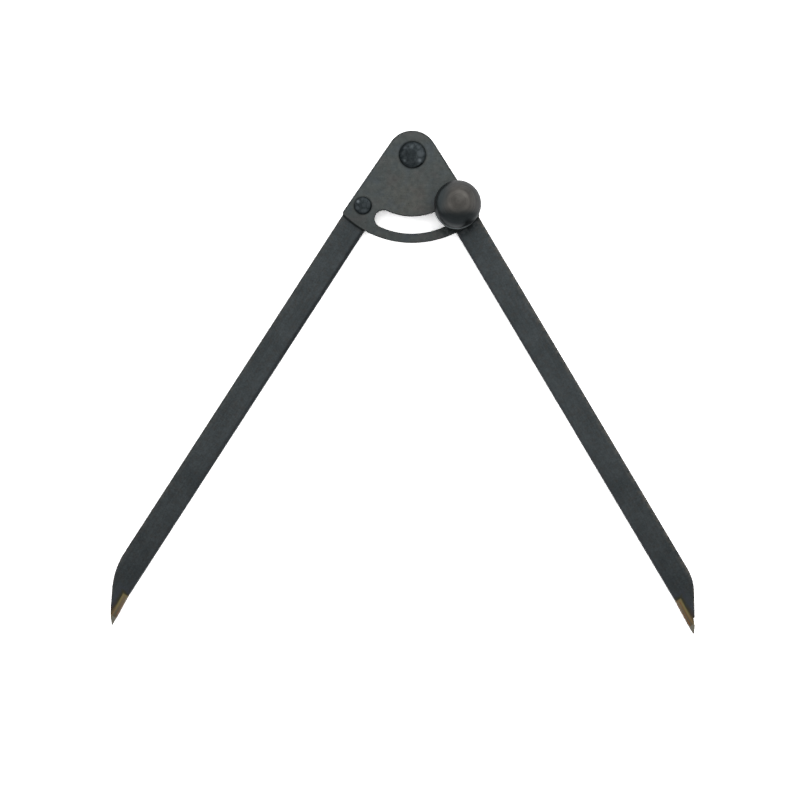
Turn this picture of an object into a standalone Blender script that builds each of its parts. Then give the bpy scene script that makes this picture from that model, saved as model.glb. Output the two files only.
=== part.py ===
"""A scribing compass that lies open on its back.

Two legs of flat steel bar meet in a half-lapped pivot. A slotted head plate is riveted to the left leg, and a
ball knob on a stud in the right leg clamps against it. Each leg ends in a carbide point, brazed to its inner
edge. Lengths are in metres and angles in degrees. The pivot is the Z axis, the backs of the legs lie at z = 0
and the legs point towards -Y. Each leg is drawn along -Y, with its inner edge through the pivot, and an empty
on the pivot leans it out.
"""

import math

import bmesh
import bpy
from mathutils import Matrix, Vector

# How far the compass is open
LEFT_LEAN = 32.9
OPENING = 63.6
FURTHER_OPENING = 1.5

# The flat bar of both legs
BAR_WIDTH = 0.0145
BAR_THICKNESS = 0.005
BAR_EDGE = 0.0008
FULL_WIDTH_FROM = 0.046

# The point of each leg, reground by hand, so that the two differ a little
LEFT_LENGTH = 0.3004
LEFT_SHOULDER = 0.042
LEFT_TAPER = 28.7
LEFT_NOSE = 35.0
LEFT_CANT = 4.1
LEFT_CARBIDE_LENGTH = 0.0178
LEFT_BLUNT = 0.0003
RIGHT_LENGTH = 0.2991
RIGHT_SHOULDER = 0.0258
RIGHT_TAPER = 29.6
RIGHT_NOSE = 31.0
RIGHT_CANT = 2.3
RIGHT_CARBIDE_LENGTH = 0.0199
RIGHT_BLUNT = 0.0006
NOSE_LENGTH = 0.0075
CARBIDE_THICKNESS = 0.0024
BRAZE_THICKNESS = 0.0004
GRIND_LENGTH = 0.005
GRIND_ANGLE = 21.0

# The head plate
HEAD_RADIUS = 0.0137
EYE_SETBACK = 0.0006
FLANK_SPLAY = 1.6
PLATE_THICKNESS = 0.0025
PLATE_ARC = 0.0528
PLATE_CORNER = 0.0015
PLATE_EDGE = 0.0003
SLOT_RADIUS = 0.037
SLOT_PLAY = 0.0007
SLOT_START = 8.2
WEB_WIDTH = 0.0049

# The rivets
PIVOT_SHANK = 0.008
PIVOT_HEAD = 0.0146
PIVOT_CROWN = 0.0021
PIVOT_FLARE = 0.0112
PLATE_RIVET_SHANK = 0.005
PLATE_RIVET_HEAD = 0.0096
PLATE_RIVET_CROWN = 0.0016
PLATE_RIVET_FLARE = 0.0074
PLATE_RIVET_OFFSET = 0.00035
RIVET_RIM = 0.0005
FLARE_DEPTH = 0.0015

# The clamp
STUD_DIAMETER = 0.008
STUD_OFFSET = 0.00075
STUD_SETBACK = 0.0005
STUD_CHAMFER = 0.0008
STUD_END_ROOM = 0.002
WASHER_DIAMETER = 0.024
WASHER_PLAY = 0.0002
WASHER_THICKNESS = 0.002
WASHER_EDGE = 0.0003
KNOB_DIAMETER = 0.025
KNOB_FLAT = 0.015
KNOB_CROWN = 0.005
DRILL_POINT = 118.0

# Clearances: between faces that touch, round a pin in its hole, and round a leg's eye
SEAT_GAP = 0.0003
FIT_GAP = 0.00005
EYE_GAP = 0.0003

# How finely round shapes are drawn: the most that a chord misses its arc by, and a turned piece's sides
CHORD_ERROR = 0.00002
TURNED_SIDES = 48

EYE_RADIUS = HEAD_RADIUS - EYE_SETBACK
PLATE_BACK = BAR_THICKNESS + SEAT_GAP
PLATE_FRONT = PLATE_BACK + PLATE_THICKNESS
HEAD_SEAT = PLATE_FRONT + SEAT_GAP
KNOB_SEAT = HEAD_SEAT + WASHER_THICKNESS + SEAT_GAP
SLOT_WIDTH = STUD_DIAMETER + 2 * SLOT_PLAY
PLATE_REACH = SLOT_RADIUS + SLOT_WIDTH / 2 + WEB_WIDTH
PLATE_RIVET_INSET = BAR_WIDTH / 2 + PLATE_RIVET_OFFSET
PLATE_RIVET_DOWN = math.sqrt(SLOT_RADIUS**2 - PLATE_RIVET_INSET**2)
STUD_INSET = BAR_WIDTH / 2 - STUD_OFFSET
STUD_RADIUS = SLOT_RADIUS - STUD_SETBACK
STUD_ANGLE = math.degrees(math.asin(STUD_INSET / STUD_RADIUS))
STUD_DOWN = math.sqrt(STUD_RADIUS**2 - STUD_INSET**2)
KNOB_RISE = math.sqrt(KNOB_DIAMETER**2 - KNOB_FLAT**2) / 2
BORE_RADIUS = STUD_DIAMETER / 2 + FIT_GAP
BORE_POINT = BORE_RADIUS / math.tan(math.radians(DRILL_POINT / 2))
BORE_DEPTH = KNOB_RISE + KNOB_DIAMETER / 2 - KNOB_CROWN - BORE_POINT


def clear_scene():
    for obj in list(bpy.data.objects):
        bpy.data.objects.remove(obj, do_unlink=True)


def new_collection(name):
    collection = bpy.data.collections.new(name)
    bpy.context.scene.collection.children.link(collection)
    return collection


def linear(code):
    """The linear values of an sRGB colour such as 3d4345."""
    shares = [int(code[i : i + 2], 16) / 255 for i in (0, 2, 4)]
    return [s / 12.92 if s <= 0.04045 else ((s + 0.055) / 1.055) ** 2.4 for s in shares]


def metal(name, code, roughness):
    material = bpy.data.materials.new(name)
    material.use_nodes = True
    shader = material.node_tree.nodes["Principled BSDF"]
    shader.inputs["Base Color"].default_value = (*linear(code), 1)
    shader.inputs["Metallic"].default_value = 1
    shader.inputs["Roughness"].default_value = roughness
    return material


def arc(centre, radius, start, end):
    """Points on an arc from one angle to another, in degrees anticlockwise from +X, both ends included."""
    step = 2 * math.degrees(math.acos(1 - CHORD_ERROR / radius))
    count = max(2, math.ceil(abs(end - start) / step))
    angles = [math.radians(start + (end - start) * i / count) for i in range(count + 1)]
    return [Vector((centre[0] + radius * math.cos(a), centre[1] + radius * math.sin(a))) for a in angles]


def circle(centre, radius):
    return arc(centre, radius, 0, 360)[:-1]


def turned_back(start, end):
    """The same direction as end, in degrees, reached clockwise from start."""
    return start - (start - end) % 360


def bearing(vector):
    """The direction of a vector in degrees anticlockwise from +X."""
    return math.degrees(math.atan2(vector.y, vector.x))


def from_down(radius, angle):
    """The point at a radius from the pivot and an angle from -Y towards +X."""
    turn = math.radians(angle)
    return Vector((radius * math.sin(turn), -radius * math.cos(turn)))


def flat_piece(loops, thickness):
    """A mesh of a flat plate with its back at z = 0. The first loop is its rim, and any others are holes."""
    curve = bpy.data.curves.new("outline", "CURVE")
    curve.dimensions = "2D"
    curve.fill_mode = "BOTH"
    curve.extrude = thickness / 2
    for loop in loops:
        spline = curve.splines.new("POLY")
        spline.points.add(len(loop) - 1)
        spline.use_cyclic_u = True
        for point, place in zip(spline.points, loop):
            point.co = (place.x, place.y, 0, 1)
    drawn = bpy.data.objects.new("outline", curve)
    bpy.context.scene.collection.objects.link(drawn)
    mesh = bpy.data.meshes.new_from_object(drawn.evaluated_get(bpy.context.evaluated_depsgraph_get()))
    bpy.data.objects.remove(drawn)
    bpy.data.curves.remove(curve)
    shape = bmesh.new()
    shape.from_mesh(mesh)
    bmesh.ops.remove_doubles(shape, verts=shape.verts, dist=1e-6)
    bmesh.ops.dissolve_limit(shape, angle_limit=math.radians(0.5), verts=shape.verts, edges=shape.edges)
    bmesh.ops.translate(shape, verts=shape.verts, vec=(0, 0, thickness / 2))
    bmesh.ops.recalc_face_normals(shape, faces=shape.faces)
    shape.to_mesh(mesh)
    shape.free()
    return mesh


def turned_piece(profile):
    """A mesh turned about Z from (radius, height) points that run down its outer side."""
    mesh = bpy.data.meshes.new("profile")
    links = [(i, i + 1) for i in range(len(profile) - 1)]
    mesh.from_pydata([(radius, 0, height) for radius, height in profile], links, [])
    drawn = bpy.data.objects.new("profile", mesh)
    bpy.context.scene.collection.objects.link(drawn)
    screw = drawn.modifiers.new("turn", "SCREW")
    screw.steps = TURNED_SIDES
    screw.render_steps = TURNED_SIDES
    screw.use_merge_vertices = True
    screw.merge_threshold = 1e-6
    bpy.context.view_layer.update()
    turned = bpy.data.meshes.new_from_object(drawn.evaluated_get(bpy.context.evaluated_depsgraph_get()))
    bpy.data.objects.remove(drawn)
    bpy.data.meshes.remove(mesh)
    return turned


def add_object(name, mesh, collection, arm, place=(0, 0, 0)):
    mesh.name = name
    obj = bpy.data.objects.new(name, mesh)
    obj.parent = arm
    obj.location = place
    collection.objects.link(obj)
    return obj


def add_piece(name, mesh, arm, finish, place=(0, 0, 0)):
    """A visible piece of the compass, shaded smooth across its round faces."""
    mesh.shade_smooth()
    mesh.set_sharp_from_angle(angle=math.radians(30))
    mesh.materials.append(finish)
    return add_object(name, mesh, pieces, arm, place)


def cut(obj, name, mesh, operation="DIFFERENCE", place=(0, 0, 0)):
    """Cuts an object with a hidden one, which leans with the same leg."""
    cutter = add_object(name, mesh, cutters, obj.parent, place)
    cutter.hide_render = True
    cutter.display_type = "WIRE"
    boolean = obj.modifiers.new(name, "BOOLEAN")
    boolean.operation = operation
    boolean.object = cutter


def add_arm(name, lean):
    """An empty on the pivot that leans a leg and all it carries."""
    arm = bpy.data.objects.new(name, None)
    arm.rotation_euler.z = math.radians(lean)
    pieces.objects.link(arm)
    return arm


# A leg is worked out in u, v and z: u runs from the pivot to the tip, v from the inner edge outwards. hand is
# -1 for the left leg and 1 for the right.


def leg_frame(hand):
    """Turns u, v and z into the x, y and z of a leg that points along -Y."""
    return Matrix(((0, hand, 0, 0), (-1, 0, 0, 0), (0, 0, 1, 0), (0, 0, 0, 1)))


def leg_place(hand, down, inset):
    return (hand * inset, -down, 0)


def leg_outline(hand, length, shoulder, taper, nose, cant, carbide_length, blunt):
    """The rim of a leg with its carbide: eye, outer edge, rounded shoulder, taper, nose and blunt tip."""
    carbide_top = length - carbide_length
    tip = Vector((length, -carbide_length * math.tan(math.radians(cant))))
    nose_end = tip + Vector((0, blunt))
    nose_top = nose_end + Vector((-NOSE_LENGTH, NOSE_LENGTH * math.tan(math.radians(nose))))
    shoulder_end = nose_top.x - (BAR_WIDTH - nose_top.y) / math.tan(math.radians(taper))
    shoulder_start = shoulder_end - shoulder * math.tan(math.radians(taper / 2))
    full_width = Vector((FULL_WIDTH_FROM, BAR_WIDTH))
    eye_end = bearing(full_width) + math.degrees(math.acos(EYE_RADIUS / full_width.length))
    rim = arc((0, 0), EYE_RADIUS, 0, turned_back(0, eye_end))
    rim.append(full_width)
    rim += arc((shoulder_start, BAR_WIDTH - shoulder), shoulder, 90, 90 - taper)
    rim += [nose_top, nose_end, tip, Vector((carbide_top, 0))]
    return [Vector((hand * p.y, -p.x)) for p in rim]


def leg_blank(hand, *sizes):
    return flat_piece([leg_outline(hand, *sizes)], BAR_THICKNESS)


def block(low, high, matrix):
    """A box between two corners, then moved by a matrix."""
    low, high = Vector(low), Vector(high)
    size = high - low
    shape = bmesh.new()
    bmesh.ops.create_cube(shape, size=1)
    fit = Matrix.Translation((low + high) / 2) @ Matrix.Diagonal((*size, 1))
    bmesh.ops.transform(shape, matrix=matrix @ fit, verts=shape.verts)
    bmesh.ops.recalc_face_normals(shape, faces=shape.faces)
    mesh = bpy.data.meshes.new("block")
    shape.to_mesh(mesh)
    shape.free()
    return mesh


def carbide_block(hand, length, cant, carbide_length, margin):
    """The room of a carbide point, canted inwards from its square top, with a margin behind and above it."""
    cant_in = Matrix.Rotation(-math.radians(cant), 4, "Z")
    to_top = Matrix.Translation((length - carbide_length, 0, 0)) @ cant_in
    low = (-margin, -BAR_WIDTH, -BAR_THICKNESS)
    high = (2 * carbide_length, CARBIDE_THICKNESS + margin, 2 * BAR_THICKNESS)
    return block(low, high, leg_frame(hand) @ to_top)


def grind_block(hand, length, front):
    """What the grindstone takes off the front or the back of a point."""
    start = Matrix.Translation((length - GRIND_LENGTH, 0, BAR_THICKNESS))
    slope = Matrix.Rotation(math.radians(GRIND_ANGLE), 4, "Y")
    low = (-GRIND_LENGTH, -2 * BAR_WIDTH, 0)
    high = (3 * GRIND_LENGTH, 2 * BAR_WIDTH, 2 * BAR_THICKNESS)
    turn_over = Matrix.Translation((0, 0, BAR_THICKNESS)) @ Matrix.Diagonal((1, 1, -1, 1))
    side = Matrix.Identity(4) if front else turn_over
    return block(low, high, leg_frame(hand) @ side @ start @ slope)


def rod(radius, low, high):
    """A plain cylinder about Z between two heights."""
    return turned_piece([(0, high), (radius, high), (radius, low), (0, low)])


def grind_point(obj, hand, length):
    for side, front in (("front", True), ("back", False)):
        cut(obj, f"{obj.name}_{side}_grind", grind_block(hand, length, front))


def round_edges(obj, last_edge_at):
    """Rounds the long edges of a leg down to a distance from the pivot, where the ground nose begins."""
    mesh = obj.data
    weights = mesh.attributes.new("bevel_weight_edge", "FLOAT", "EDGE")
    for edge in mesh.edges:
        a, b = (mesh.vertices[i].co for i in edge.vertices)
        on_face = abs(a.z - b.z) < 1e-6
        weights.data[edge.index].value = float(on_face and max(-a.y, -b.y) < last_edge_at + 1e-6)
    bevel = obj.modifiers.new("edges", "BEVEL")
    bevel.limit_method = "WEIGHT"
    bevel.width = BAR_EDGE
    bevel.segments = 2
    bevel.use_clamp_overlap = False


def add_leg(side, hand, arm, length, shoulder, taper, nose, cant, carbide_length, blunt):
    """One leg with its braze and carbide, cut from one outline, so that all three are flush as ground."""
    outline = (hand, length, shoulder, taper, nose, cant, carbide_length, blunt)
    blocks = (hand, length, cant, carbide_length)
    leg = add_piece(f"{side}_leg", leg_blank(*outline), arm, dark_steel)
    round_edges(leg, length - NOSE_LENGTH)
    cut(leg, f"{side}_pocket", carbide_block(*blocks, BRAZE_THICKNESS + 2 * FIT_GAP))
    braze = add_piece(f"{side}_braze", leg_blank(*outline), arm, braze_metal)
    outside = carbide_block(*blocks, BRAZE_THICKNESS + FIT_GAP)
    cut(braze, f"{side}_braze_outside", outside, "INTERSECT")
    cut(braze, f"{side}_braze_inside", carbide_block(*blocks, FIT_GAP))
    carbide = add_piece(f"{side}_carbide", leg_blank(*outline), arm, carbide_metal)
    cut(carbide, f"{side}_carbide_blank", carbide_block(*blocks, 0), "INTERSECT")
    for obj in (leg, braze, carbide):
        grind_point(obj, hand, length)
    return leg


def crown(radius, height, base):
    """A profile down the outside of a low domed head that stands on a base."""
    dome = height - RIVET_RIM
    sphere = (radius**2 + dome**2) / (2 * dome)
    rise = base + height - sphere
    spread = math.asin(radius / sphere)
    angles = [spread * i / 6 for i in range(7)]
    return [(sphere * math.sin(a), rise + sphere * math.cos(a)) for a in angles] + [(radius, base)]


def rivet_mesh(shank, head, height, flare):
    """A rivet with a hammered crown on the plate and a foot that is spread flush into the back of the leg."""
    profile = crown(head / 2, height, HEAD_SEAT)
    profile += [(shank / 2, HEAD_SEAT), (shank / 2, FLARE_DEPTH), (flare / 2, 0), (0, 0)]
    return turned_piece(profile)


def flared_hole(shank, flare):
    """The hole for such a rivet, wider at the back of the leg."""
    radius = shank / 2 + FIT_GAP
    slope = (flare - shank) / 2 / FLARE_DEPTH
    mouth = radius + slope * 2 * FLARE_DEPTH
    top = 2 * BAR_THICKNESS
    profile = [(0, top), (radius, top), (radius, FLARE_DEPTH), (mouth, -FLARE_DEPTH), (0, -FLARE_DEPTH)]
    return turned_piece(profile)


def plate_corner(normal, down, arc_centre):
    """The centre of the rounded corner between a flank and the arched lower edge."""
    offset = normal * (HEAD_RADIUS - PLATE_CORNER)
    reach = arc_centre - offset
    along = down.dot(reach)
    along += math.sqrt(along**2 - reach.length_squared + (PLATE_ARC - PLATE_CORNER) ** 2)
    return offset + down * along


def plate_rim():
    """Clockwise: the round head over the pivot, the right flank, the arched lower edge and the left flank."""
    left, right = 180 - FLANK_SPLAY, OPENING + FLANK_SPLAY
    arc_centre = from_down(PLATE_REACH - PLATE_ARC, OPENING / 2)
    centres = []
    for turn, down in ((left, from_down(1, -FLANK_SPLAY)), (right, from_down(1, right))):
        normal = Vector((math.cos(math.radians(turn)), math.sin(math.radians(turn))))
        centres.append(plate_corner(normal, down, arc_centre))
    left_corner, right_corner = centres
    right_end = turned_back(right, bearing(right_corner - arc_centre))
    left_end = turned_back(right_end, bearing(left_corner - arc_centre))
    rim = arc((0, 0), HEAD_RADIUS, left, right)
    rim += arc(right_corner, PLATE_CORNER, right, right_end)
    rim += arc(arc_centre, PLATE_ARC, right_end, left_end)[1:-1]
    rim += arc(left_corner, PLATE_CORNER, left_end, turned_back(left_end, left))
    return rim


def slot_rim():
    """The curved slot about the pivot, from near the left leg to just past the stud."""
    end = OPENING + STUD_ANGLE + FURTHER_OPENING
    first, last = SLOT_START - 90, end - 90
    rim = arc((0, 0), SLOT_RADIUS + SLOT_WIDTH / 2, first, last)
    rim += arc(from_down(SLOT_RADIUS, end), SLOT_WIDTH / 2, last, last + 180)[1:-1]
    rim += arc((0, 0), SLOT_RADIUS - SLOT_WIDTH / 2, last, first)
    rim += arc(from_down(SLOT_RADIUS, SLOT_START), SLOT_WIDTH / 2, first - 180, first)[1:-1]
    return rim


def add_plate(arm, rivet_place):
    """The slotted plate, drilled for both rivets, on the front of the left leg."""
    holes = [circle((0, 0), PIVOT_SHANK / 2 + FIT_GAP), circle(rivet_place, PLATE_RIVET_SHANK / 2 + FIT_GAP)]
    mesh = flat_piece([plate_rim(), slot_rim(), *holes], PLATE_THICKNESS)
    plate = add_piece("head_plate", mesh, arm, plate_steel, (0, 0, PLATE_BACK))
    bevel = plate.modifiers.new("edges", "BEVEL")
    bevel.width = PLATE_EDGE
    bevel.angle_limit = math.radians(60)
    bevel.use_clamp_overlap = False
    bevel.loop_slide = False


def washer_mesh():
    outer, bore = WASHER_DIAMETER / 2, STUD_DIAMETER / 2 + WASHER_PLAY
    top, edge = WASHER_THICKNESS, WASHER_EDGE
    profile = [(bore, top), (outer - edge, top), (outer, top - edge), (outer, edge), (outer - edge, 0)]
    return turned_piece([*profile, (bore, 0), (bore, top)])


def stud_mesh():
    radius, chamfer = STUD_DIAMETER / 2, STUD_CHAMFER
    top = KNOB_SEAT + BORE_DEPTH - STUD_END_ROOM
    profile = [(0, top), (radius - chamfer, top), (radius, top - chamfer), (radius, 0), (0, 0)]
    return turned_piece(profile)


def knob_mesh():
    """A ball with a flat foot and a blind tapped bore, whose thread is left plain."""
    radius = KNOB_DIAMETER / 2
    spread = math.pi - math.asin(KNOB_FLAT / KNOB_DIAMETER)
    count = TURNED_SIDES // 2
    angles = [spread * i / count for i in range(count + 1)]
    profile = [(radius * math.sin(a), KNOB_RISE + radius * math.cos(a)) for a in angles]
    profile += [(BORE_RADIUS + STUD_CHAMFER, 0), (BORE_RADIUS, STUD_CHAMFER), (BORE_RADIUS, BORE_DEPTH)]
    profile.append((0, BORE_DEPTH + BORE_POINT))
    return turned_piece(profile)


clear_scene()
pieces = new_collection("scribing_compass")
cutters = new_collection("cutters")

dark_steel = metal("dark_bar_steel", "3e4447", 0.5)
plate_steel = metal("plain_plate_steel", "505351", 0.5)
rivet_steel = metal("hammered_rivet_steel", "343c40", 0.45)
turned_steel = metal("turned_steel", "5f5a56", 0.35)
braze_metal = metal("brazing_brass", "8f7335", 0.45)
carbide_metal = metal("hard_metal", "5a584b", 0.4)

left_arm = add_arm("left_arm", -LEFT_LEAN)
right_arm = add_arm("right_arm", OPENING - LEFT_LEAN)

left_bar = (LEFT_LENGTH, LEFT_SHOULDER, LEFT_TAPER)
left_point = (LEFT_NOSE, LEFT_CANT, LEFT_CARBIDE_LENGTH, LEFT_BLUNT)
right_bar = (RIGHT_LENGTH, RIGHT_SHOULDER, RIGHT_TAPER)
right_point = (RIGHT_NOSE, RIGHT_CANT, RIGHT_CARBIDE_LENGTH, RIGHT_BLUNT)
left_leg = add_leg("left", -1, left_arm, *left_bar, *left_point)
right_leg = add_leg("right", 1, right_arm, *right_bar, *right_point)

# The left leg's eye is its back half, and the right leg's is its front half
lap = SEAT_GAP / 2
room = EYE_RADIUS + EYE_GAP
middle = BAR_THICKNESS / 2
cut(left_leg, "left_lap", rod(room, middle - lap, 2 * BAR_THICKNESS))
cut(right_leg, "right_lap", rod(room, -BAR_THICKNESS, middle + lap))

rivet_place = leg_place(-1, PLATE_RIVET_DOWN, PLATE_RIVET_INSET)
stud_place = leg_place(1, STUD_DOWN, STUD_INSET)
cut(left_leg, "pivot_hole", flared_hole(PIVOT_SHANK, PIVOT_FLARE))
cut(left_leg, "plate_rivet_hole", flared_hole(PLATE_RIVET_SHANK, PLATE_RIVET_FLARE), place=rivet_place)
cut(right_leg, "eye_hole", rod(PIVOT_SHANK / 2 + FIT_GAP, -BAR_THICKNESS, 2 * BAR_THICKNESS))
stud_hole = rod(BORE_RADIUS, -BAR_THICKNESS, 2 * BAR_THICKNESS)
cut(right_leg, "stud_hole", stud_hole, place=stud_place)

add_plate(left_arm, rivet_place)
pivot_rivet = rivet_mesh(PIVOT_SHANK, PIVOT_HEAD, PIVOT_CROWN, PIVOT_FLARE)
add_piece("pivot_rivet", pivot_rivet, left_arm, rivet_steel)
plate_rivet = rivet_mesh(PLATE_RIVET_SHANK, PLATE_RIVET_HEAD, PLATE_RIVET_CROWN, PLATE_RIVET_FLARE)
add_piece("plate_rivet", plate_rivet, left_arm, rivet_steel, rivet_place)

on_stud = Vector(stud_place)
add_piece("clamp_stud", stud_mesh(), right_arm, turned_steel, on_stud)
add_piece("clamp_washer", washer_mesh(), right_arm, turned_steel, on_stud + Vector((0, 0, HEAD_SEAT)))
add_piece("ball_knob", knob_mesh(), right_arm, turned_steel, on_stud + Vector((0, 0, KNOB_SEAT)))
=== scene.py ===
import math

import bpy
import numpy as np
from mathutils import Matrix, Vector


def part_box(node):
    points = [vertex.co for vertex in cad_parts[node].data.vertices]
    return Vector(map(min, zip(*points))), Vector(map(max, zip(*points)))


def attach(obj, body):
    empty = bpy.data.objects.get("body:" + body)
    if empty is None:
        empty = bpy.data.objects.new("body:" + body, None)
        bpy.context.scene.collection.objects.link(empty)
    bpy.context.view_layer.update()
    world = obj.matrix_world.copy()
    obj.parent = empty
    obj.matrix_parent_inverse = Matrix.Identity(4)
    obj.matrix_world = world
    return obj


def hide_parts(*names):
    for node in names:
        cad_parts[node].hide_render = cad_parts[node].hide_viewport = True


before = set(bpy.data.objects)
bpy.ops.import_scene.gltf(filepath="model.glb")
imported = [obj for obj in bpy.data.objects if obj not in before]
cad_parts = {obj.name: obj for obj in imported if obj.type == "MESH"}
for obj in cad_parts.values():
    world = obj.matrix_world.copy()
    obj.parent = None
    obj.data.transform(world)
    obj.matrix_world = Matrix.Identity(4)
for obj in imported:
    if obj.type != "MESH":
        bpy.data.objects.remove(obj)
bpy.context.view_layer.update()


# The bench and its light.
# The compass lies flat on matt white board. The room is a little brighter behind and above than in front, and
# a big softbox stands behind the compass on the right.

BENCH_HALF_WIDTH = 30.0
BENCH_DROP = 0.0001
BENCH_SHADE = "e6e6e6"
WHITE_SEEN, WHITE_IN_METAL = 2.6, 1.0
ROOM_BRIGHT_SIDE = (0.15, 0.72, 0.68)
ROOM_DARK, ROOM_BRIGHT = 0.75, 0.9
ROOM_DARK_UNTIL, ROOM_BRIGHT_FROM = -0.12, 0.16


def linear(code):
    """The linear colour of an sRGB hex code: each channel is undone with the sRGB curve."""
    shares = np.array([int(code[i:i + 2], 16) for i in (0, 2, 4)]) / 255
    channels = np.where(shares <= 0.04045, shares / 12.92, ((shares + 0.055) / 1.055) ** 2.4)
    return (*channels.tolist(), 1.0)


def node(tree, kind, inputs=(), **settings):
    """Adds a node, sets its properties, and fills its inputs, by name or in the order of those left in use.

    An input takes a value, a socket, or another node, whose first output in use is then linked to it.
    """
    made = tree.nodes.new("ShaderNode" + kind)
    for key, value in settings.items():
        setattr(made, key, value)
    if isinstance(inputs, dict):
        pairs = [(made.inputs[key], value) for key, value in inputs.items()]
    else:
        pairs = zip([socket for socket in made.inputs if socket.enabled], inputs)
    for socket, value in pairs:
        if isinstance(value, bpy.types.Node):
            value = next(output for output in value.outputs if output.enabled)
        if isinstance(value, bpy.types.NodeSocket):
            tree.links.new(value, socket)
        else:
            socket.default_value = value
    return made


def new_material(name):
    """An empty node material and its tree."""
    material = bpy.data.materials.new(name)
    material.use_nodes = True
    material.node_tree.nodes.clear()
    return material, material.node_tree


def bench_material():
    """Matt white board: white seen straight or in metal, while the light it passes on is pale board's."""
    material, tree = new_material("matt_white_board")
    path = node(tree, "LightPath")
    in_metal = node(tree, "Math", [path.outputs["Is Glossy Ray"], path.outputs["Is Transmission Ray"]],
                    operation="MAXIMUM")
    passed_on = node(tree, "Mix", [in_metal, linear(BENCH_SHADE), (WHITE_IN_METAL,) * 3 + (1,)],
                     data_type="RGBA")
    shade = node(tree, "Mix", [path.outputs["Is Camera Ray"], passed_on, (WHITE_SEEN,) * 3 + (1,)],
                 data_type="RGBA")
    board = node(tree, "BsdfDiffuse", {"Color": shade})
    node(tree, "OutputMaterial", {"Surface": board})
    return material


edge = BENCH_HALF_WIDTH
bench_corners = [(x, y, -BENCH_DROP) for x, y in ((-edge, -edge), (edge, -edge), (edge, edge), (-edge, edge))]
bench_mesh = bpy.data.meshes.new("bench")
bench_mesh.from_pydata(bench_corners, [], [(0, 1, 2, 3)])
bench_mesh.materials.append(bench_material())
bench = bpy.data.objects.new("bench", bench_mesh)
bpy.context.scene.collection.objects.link(bench)

room = bpy.data.worlds.new("room")
bpy.context.scene.world = room
room.use_nodes = True
air = room.node_tree
air.nodes.clear()
look = node(air, "TexCoord")
towards = node(air, "VectorMath", [look.outputs["Generated"], ROOM_BRIGHT_SIDE], operation="DOT_PRODUCT")
level = node(air, "MapRange", [towards, ROOM_DARK_UNTIL, ROOM_BRIGHT_FROM, ROOM_DARK, ROOM_BRIGHT],
             interpolation_type="SMOOTHSTEP")
seen = node(air, "LightPath")
strength = node(air, "Mix", [seen.outputs["Is Camera Ray"], level, 1.0])
sky = node(air, "Background", {"Color": (1, 1, 1, 1), "Strength": strength})
node(air, "OutputWorld", {"Surface": sky})

LAMP_PLACE = (0.36, 0.72, 0.98)
LAMP_AIM = (0.0, -0.08, 0.0)
LAMP_SIZE = 1.1
LAMP_POWER = 2.6

lamp_data = bpy.data.lights.new("softbox", "AREA")
lamp_data.size = LAMP_SIZE
lamp_data.energy = LAMP_POWER
lamp = bpy.data.objects.new("softbox", lamp_data)
lamp.location = LAMP_PLACE
lamp.rotation_euler = (Vector(LAMP_PLACE) - Vector(LAMP_AIM)).to_track_quat("Z", "Y").to_euler()
bpy.context.scene.collection.objects.link(lamp)

# The camera looks straight down from 772 mm over the bench, with +Y up in the picture.
CAMERA_PLACE = (-0.0065, -0.1311, 0.772)
FOCAL_PIXELS = 1422.8
PICTURE_PIXELS = 800
SENSOR_WIDTH = 36.0
NEAREST_SEEN = 0.01

camera_data = bpy.data.cameras.new("camera")
camera_data.sensor_width = SENSOR_WIDTH
camera_data.lens = FOCAL_PIXELS / PICTURE_PIXELS * SENSOR_WIDTH
camera_data.clip_start = NEAREST_SEEN
camera = bpy.data.objects.new("camera", camera_data)
camera.location = CAMERA_PLACE
bpy.context.scene.collection.objects.link(camera)
bpy.context.scene.camera = camera
bpy.context.scene.view_settings.view_transform = "Standard"


# The two legs.
# Each is a flat bar of hot rolled steel with its mill skin still on, a dull grey, and ground to its taper.
# Its outer corner is painted lighter in places as a highlight, partly worn bare, and the torch has stained
# its end. Painted shade lies along its inner edge and on its sides, a painted shadow along the plate and of
# the knob round the clamp, broken up like grease, and it is painted darker towards the tip.

LEFT_LEAN, RIGHT_LEAN = -32.9, 30.7
LEFT_LENGTH_MM, RIGHT_LENGTH_MM = 300.4, 299.1
LEFT_CARBIDE_MM, RIGHT_CARBIDE_MM = 17.8, 19.9
LEFT_CANT, RIGHT_CANT = 4.1, 2.3
CARBIDE_THICK_MM = 2.4
GROUND_MM, GROUND_BORDER_MM = 5.0, 0.2
PLATE_ARC_CENTRE, PLATE_ARC_MM = (0.00012, 0.0062, 0), 52.8
ARC_SHADOW_MM = (PLATE_ARC_MM + 0.4, PLATE_ARC_MM + 1.0)
KNOB_SHADOW_MM = (13.0, 17.5)
INNER_LINE_MM, INNER_LINE_FADES_MM = (1.0, 2.0), (120.0, 280.0)
OUTER_LINE_MM = (11.6, 14.0)
TIP_SHADE_MM = (150.0, 260.0)
MILL_DARK, MILL_LIGHT, BROWN_BLOOM = "3b4042", "44494b", "494643"
CORNER_HIGHLIGHT_AND_WEAR, PAINTED_SIDE_SHADE, LEG_SHADOW_AND_GREASE = "68645e", "202325", "1b1e1f"
TEMPER_BLUE, WIPED_BRASS = "3a3d47", "6b6344"
FLUX_OLIVE, FLUX_BROWN = "37372c", "44352b"
GROUND_STEEL = "7f7e74"
CLOUDS_PER_MM, BLOOMS_PER_MM, GRAINS_PER_MM = 0.07, 0.45, 1.3
BAR_LINES_PER_MM = (1.5, 0.04, 1.5)
WEAR_PER_MM, FLAMES_PER_MM = 0.5, 0.4
NOISE_SPAN, CLOUD_SPAN, BLOOM_SPAN = (0.3, 0.7), (0.36, 0.64), (0.5, 0.64)
STREAKS, SPECKLES, MOTTLES, TIP_SHADE_RANGE = (0.93, 1.07), (0.78, 1.22), (1.1, 0.9), (1.05, 0.81)
CORNER_TURNS, SIDE_TURNS = (0.1, 0.35), (0.75, 0.95)
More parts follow.
